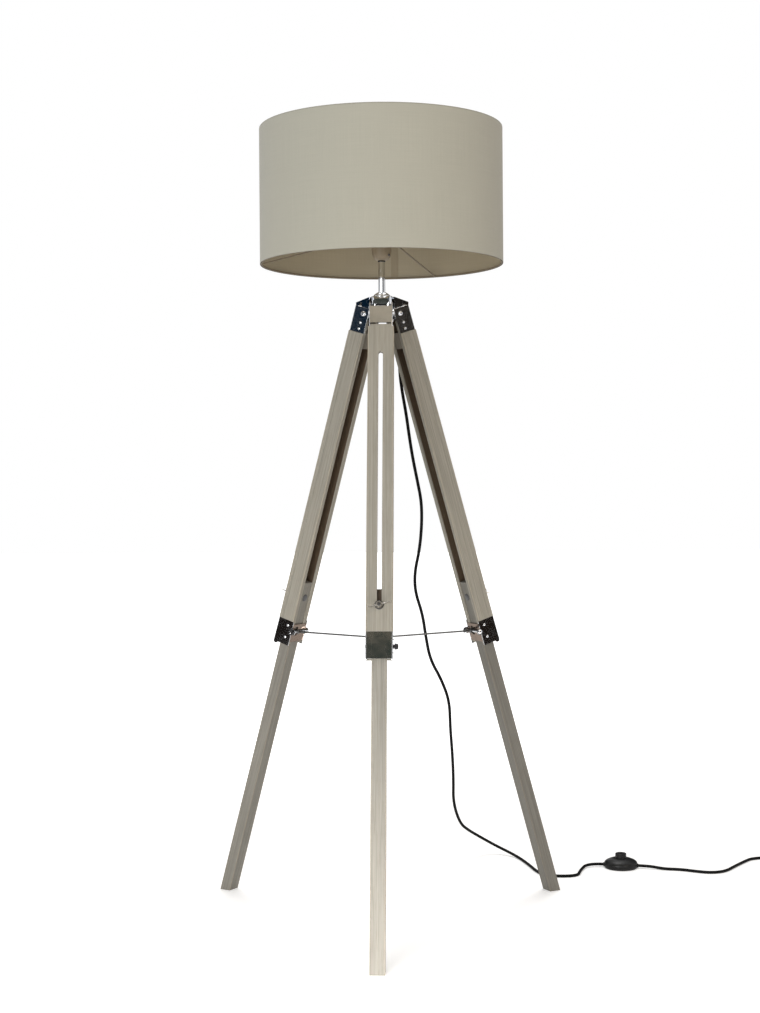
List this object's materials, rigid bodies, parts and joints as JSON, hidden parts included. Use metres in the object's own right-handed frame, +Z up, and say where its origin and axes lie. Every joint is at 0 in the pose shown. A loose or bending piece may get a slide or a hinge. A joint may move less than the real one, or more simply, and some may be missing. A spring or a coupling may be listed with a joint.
{
  "type": "floor lamp",
  "caption": "Tripod floor lamp with a cloth drum shade on slotted telescopic wooden legs, a fold-in brace and a foot switch on its cord.",
  "frame": {"origin": "on the floor, under the middle of the lamp's own box; the lamp's axis stands 76.4 mm behind it", "axes": "+Z up along the lamp's axis, -Y towards the front leg, +X to the lamp's right as seen from the front"},
  "size_m": [1.2241, 0.9334, 1.453],
  "materials": {
    "shade_cloth": "fine grey-beige linen",
    "white_wire": "powder-coated wire",
    "holder_plastic": "pale beige moulding",
    "black_plastic": "black moulding",
    "socket_metal": "pressed screw shell",
    "small_steel": "zinc-plated",
    "chrome_trim": "polished",
    "washed_wood": "grey-washed, matt",
    "lower_wood": "grey-washed, matt",
    "cord_sheath": "black flexible sheath",
    "switch_plastic": "black moulding",
    "pin_metal": "plug pins"
  },
  "bodies": {
    "head": {"hub": "chrome_trim", "hub_nut": "small_steel", "hub_collar": "chrome_trim", "stem_tube": "chrome_trim", "threaded_tube": "small_steel", "lock_ring": "black_plastic", "lampholder_cap": "holder_plastic", "lampholder_body": "holder_plastic", "shade_clamp_rings": "holder_plastic", "socket_shell": "socket_metal", "cord_grip_screw": "small_steel", "shade_drum": "shade_cloth", "shade_top_ring": "white_wire", "shade_spider": "white_wire", "cord_gland": "black_plastic", "cord_to_switch": "cord_sheath", "switch_base": "switch_plastic", "switch_cover": "switch_plastic", "cord_to_plug": "cord_sheath", "cord_coil": "cord_sheath", "plug_body": "black_plastic", "plug_pins": "pin_metal"},
    "brace_plate": {"brace_plate": "chrome_trim"},
    "switch_button": {"switch_button": "switch_plastic"},
    "front_upper": {"front_slotted_board": "washed_wood", "front_side_rails": "washed_wood", "front_top_bracket": "chrome_trim", "front_pivot_bolt": "chrome_trim", "front_lower_bracket": "chrome_trim", "front_bracket_screws": "chrome_trim", "front_brace_pin": "chrome_trim"},
    "front_lower": {"front_lower_leg": "lower_wood", "front_clamp_bolt": "chrome_trim"},
    "front_wing": {"front_wing_nut": "chrome_trim"},
    "front_knob": {"front_brace_knob": "chrome_trim"},
    "front_brace": {"front_brace_rod": "chrome_trim"},
    "right_upper": {"right_slotted_board": "washed_wood", "right_side_rails": "washed_wood", "right_top_bracket": "chrome_trim", "right_pivot_bolt": "chrome_trim", "right_lower_bracket": "chrome_trim", "right_bracket_screws": "chrome_trim", "right_brace_pin": "chrome_trim"},
    "right_lower": {"right_lower_leg": "lower_wood", "right_clamp_bolt": "chrome_trim"},
    "right_wing": {"right_wing_nut": "chrome_trim"},
    "right_knob": {"right_brace_knob": "chrome_trim"},
    "right_brace": {"right_brace_rod": "chrome_trim"},
    "left_upper": {"left_slotted_board": "washed_wood", "left_side_rails": "washed_wood", "left_top_bracket": "chrome_trim", "left_pivot_bolt": "chrome_trim", "left_lower_bracket": "chrome_trim", "left_bracket_screws": "chrome_trim", "left_brace_pin": "chrome_trim"},
    "left_lower": {"left_lower_leg": "lower_wood", "left_clamp_bolt": "chrome_trim"},
    "left_wing": {"left_wing_nut": "chrome_trim"},
    "left_knob": {"left_brace_knob": "chrome_trim"},
    "left_brace": {"left_brace_rod": "chrome_trim"}
  },
  "joints": [
    {"name": "front_leg_fold", "type": "hinge", "parent": "head", "child": "front_upper", "pos_m": [0, 0.04925, 1.112], "axis": [1, 0, 0], "range_deg": [0, 14]},
    {"name": "front_leg_slide", "type": "slide", "parent": "front_upper", "child": "front_lower", "axis": [0, 0.2904, 0.9569], "range_m": [0, 0.45]},
    {"name": "front_wing_nut_turn", "type": "hinge", "parent": "front_lower", "child": "front_wing", "pos_m": [0, -0.13838, 0.5901], "axis": [0, 0.9569, -0.2904], "continuous": true},
    {"name": "front_knob_turn", "type": "hinge", "parent": "front_upper", "child": "front_knob", "pos_m": [0.028, -0.11631, 0.51474], "axis": [1, 0, 0], "continuous": true},
    {"name": "front_brace_swing", "type": "hinge", "parent": "front_upper", "child": "front_brace", "pos_m": [0.007, -0.11631, 0.51474], "axis": [1, 0, 0], "range_deg": [-92, 0]},
    {"name": "right_leg_fold", "type": "hinge", "parent": "head", "child": "right_upper", "pos_m": [0.02356, 0.09005, 1.112], "axis": [-0.5, 0.866, 0], "range_deg": [0, 14]},
    {"name": "right_leg_slide", "type": "slide", "parent": "right_upper", "child": "right_lower", "axis": [-0.2515, -0.1452, 0.9569], "range_m": [0, 0.45]},
    {"name": "right_wing_nut_turn", "type": "hinge", "parent": "right_lower", "child": "right_wing", "pos_m": [0.18605, 0.18386, 0.5901], "axis": [-0.8287, -0.4785, -0.2904], "continuous": true},
    {"name": "right_knob_turn", "type": "hinge", "parent": "right_upper", "child": "right_knob", "pos_m": [0.15293, 0.19708, 0.51474], "axis": [-0.5, 0.866, 0], "continuous": true},
    {"name": "right_brace_swing", "type": "hinge", "parent": "right_upper", "child": "right_brace", "pos_m": [0.16343, 0.17889, 0.51474], "axis": [-0.5, 0.866, 0], "range_deg": [-92, 0]},
    {"name": "left_leg_fold", "type": "hinge", "parent": "head", "child": "left_upper", "pos_m": [-0.02356, 0.09005, 1.112], "axis": [-0.5, -0.866, 0], "range_deg": [0, 14]},
    {"name": "left_leg_slide", "type": "slide", "parent": "left_upper", "child": "left_lower", "axis": [0.2515, -0.1452, 0.9569], "range_m": [0, 0.45]},
    {"name": "left_wing_nut_turn", "type": "hinge", "parent": "left_lower", "child": "left_wing", "pos_m": [-0.18605, 0.18386, 0.5901], "axis": [0.8287, -0.4785, -0.2904], "continuous": true},
    {"name": "left_knob_turn", "type": "hinge", "parent": "left_upper", "child": "left_knob", "pos_m": [-0.18093, 0.14858, 0.51474], "axis": [-0.5, -0.866, 0], "continuous": true},
    {"name": "left_brace_swing", "type": "hinge", "parent": "left_upper", "child": "left_brace", "pos_m": [-0.17043, 0.16677, 0.51474], "axis": [-0.5, -0.866, 0], "range_deg": [-92, 0]},
    {"name": "brace_plate_drop", "type": "slide", "parent": "head", "child": "brace_plate", "axis": [0, 0, 1], "range_m": [-0.155, 0]},
    {"name": "switch_press", "type": "slide", "parent": "head", "child": "switch_button", "axis": [0, 0, -1], "range_m": [0, 0.004], "stiffness_N_per_m": 800, "springref_m": -0.0005}
  ],
  "couplings": [
    {"joint": "front_brace_swing", "follows": "front_leg_fold", "ratio": -6.5114},
    {"joint": "right_leg_fold", "follows": "front_leg_fold", "ratio": 1},
    {"joint": "right_brace_swing", "follows": "front_leg_fold", "ratio": -6.5114},
    {"joint": "left_leg_fold", "follows": "front_leg_fold", "ratio": 1},
    {"joint": "left_brace_swing", "follows": "front_leg_fold", "ratio": -6.5114},
    {"joint": "brace_plate_drop", "follows": "front_leg_fold", "m_per_rad": -0.6139}
  ]
}
